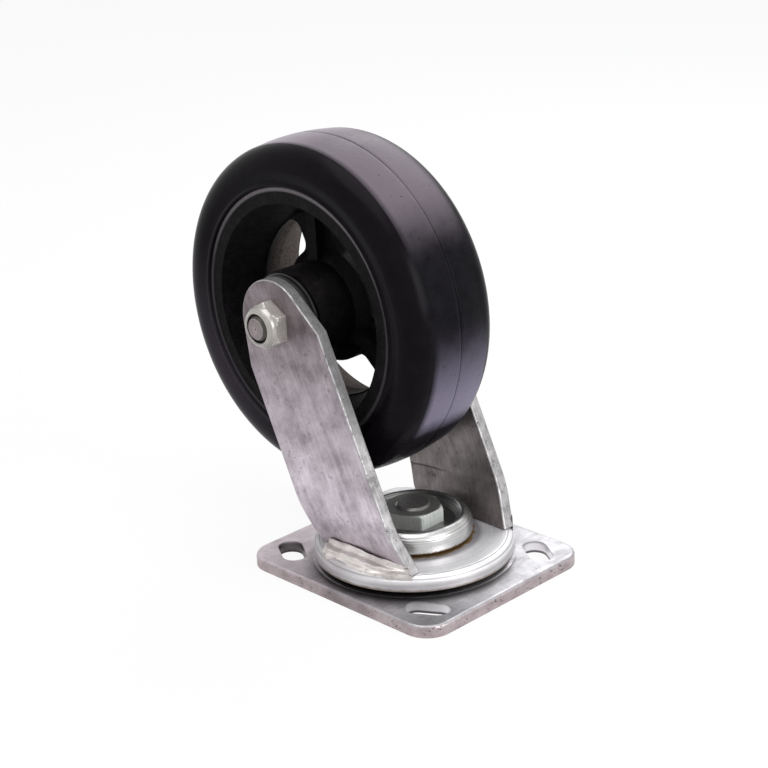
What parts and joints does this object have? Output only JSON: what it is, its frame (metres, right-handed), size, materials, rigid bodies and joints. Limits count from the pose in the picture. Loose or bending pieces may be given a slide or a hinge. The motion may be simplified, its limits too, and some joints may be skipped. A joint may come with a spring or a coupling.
{
  "type": "swivel castor wheel",
  "caption": "Swivel plate castor with a rubber-tyred spoked cast wheel between bent, welded fork legs, on a double ball-race head and a slotted mounting plate.",
  "frame": {"origin": "centre of the mounting face, on the swivel axis", "axes": "+Z from the mounting face towards the wheel along the swivel axis, +X forward, away from the trailing wheel, and Y along the axle with the nut at -Y; the castor stands on its plate with the wheel up, as pictured, and is turned over in use"},
  "size_m": [0.1773, 0.1016, 0.1905],
  "materials": {
    "zinc_steel": "zinc-plated rolled steel with streaks and pits",
    "bright_zinc": "bright zinc plate over turned steel",
    "weld_metal": "plated weld bead",
    "ball_steel": "polished hard steel",
    "black_iron": "black-painted rough casting",
    "tyre_rubber": "smooth moulded rubber",
    "nylon": "moulded nylon"
  },
  "bodies": {
    "plate": {"top_plate": "zinc_steel", "kingpin": "bright_zinc", "retainer_cap": "bright_zinc", "kingpin_nut": "bright_zinc"},
    "load_ball_row": {"load_balls": "ball_steel"},
    "retainer_ball_row": {"retainer_balls": "ball_steel"},
    "fork": {"yoke_base": "bright_zinc", "nut_side_leg": "zinc_steel", "head_side_leg": "zinc_steel", "nut_side_weld": "weld_metal", "head_side_weld": "weld_metal", "axle_bolt": "bright_zinc", "axle_sleeve": "ball_steel", "nut_side_washer": "zinc_steel", "head_side_washer": "zinc_steel", "axle_nut": "bright_zinc", "locking_ring": "nylon"},
    "roller_bearing": {"roller_cage": "zinc_steel", "bearing_rollers": "ball_steel"},
    "wheel": {"wheel_core": "black_iron", "rubber_tyre": "tyre_rubber"}
  },
  "joints": [
    {"name": "swivel", "type": "hinge", "parent": "plate", "child": "fork", "pos_m": [0, 0, 0.0086], "axis": [0, 0, 1], "continuous": true},
    {"name": "load_ball_orbit", "type": "hinge", "parent": "plate", "child": "load_ball_row", "pos_m": [0, 0, 0.0086], "axis": [0, 0, 1], "continuous": true},
    {"name": "retainer_ball_orbit", "type": "hinge", "parent": "plate", "child": "retainer_ball_row", "pos_m": [0, 0, 0.0164], "axis": [0, 0, 1], "continuous": true},
    {"name": "wheel_spin", "type": "hinge", "parent": "fork", "child": "wheel", "pos_m": [-0.044, 0, 0.1143], "axis": [0, 1, 0], "continuous": true},
    {"name": "roller_orbit", "type": "hinge", "parent": "fork", "child": "roller_bearing", "pos_m": [-0.044, 0, 0.1143], "axis": [0, 1, 0], "continuous": true}
  ],
  "couplings": [
    {"joint": "load_ball_orbit", "follows": "swivel", "ratio": 0.5},
    {"joint": "retainer_ball_orbit", "follows": "swivel", "ratio": 0.5},
    {"joint": "roller_orbit", "follows": "wheel_spin", "ratio": 0.6132}
  ]
}
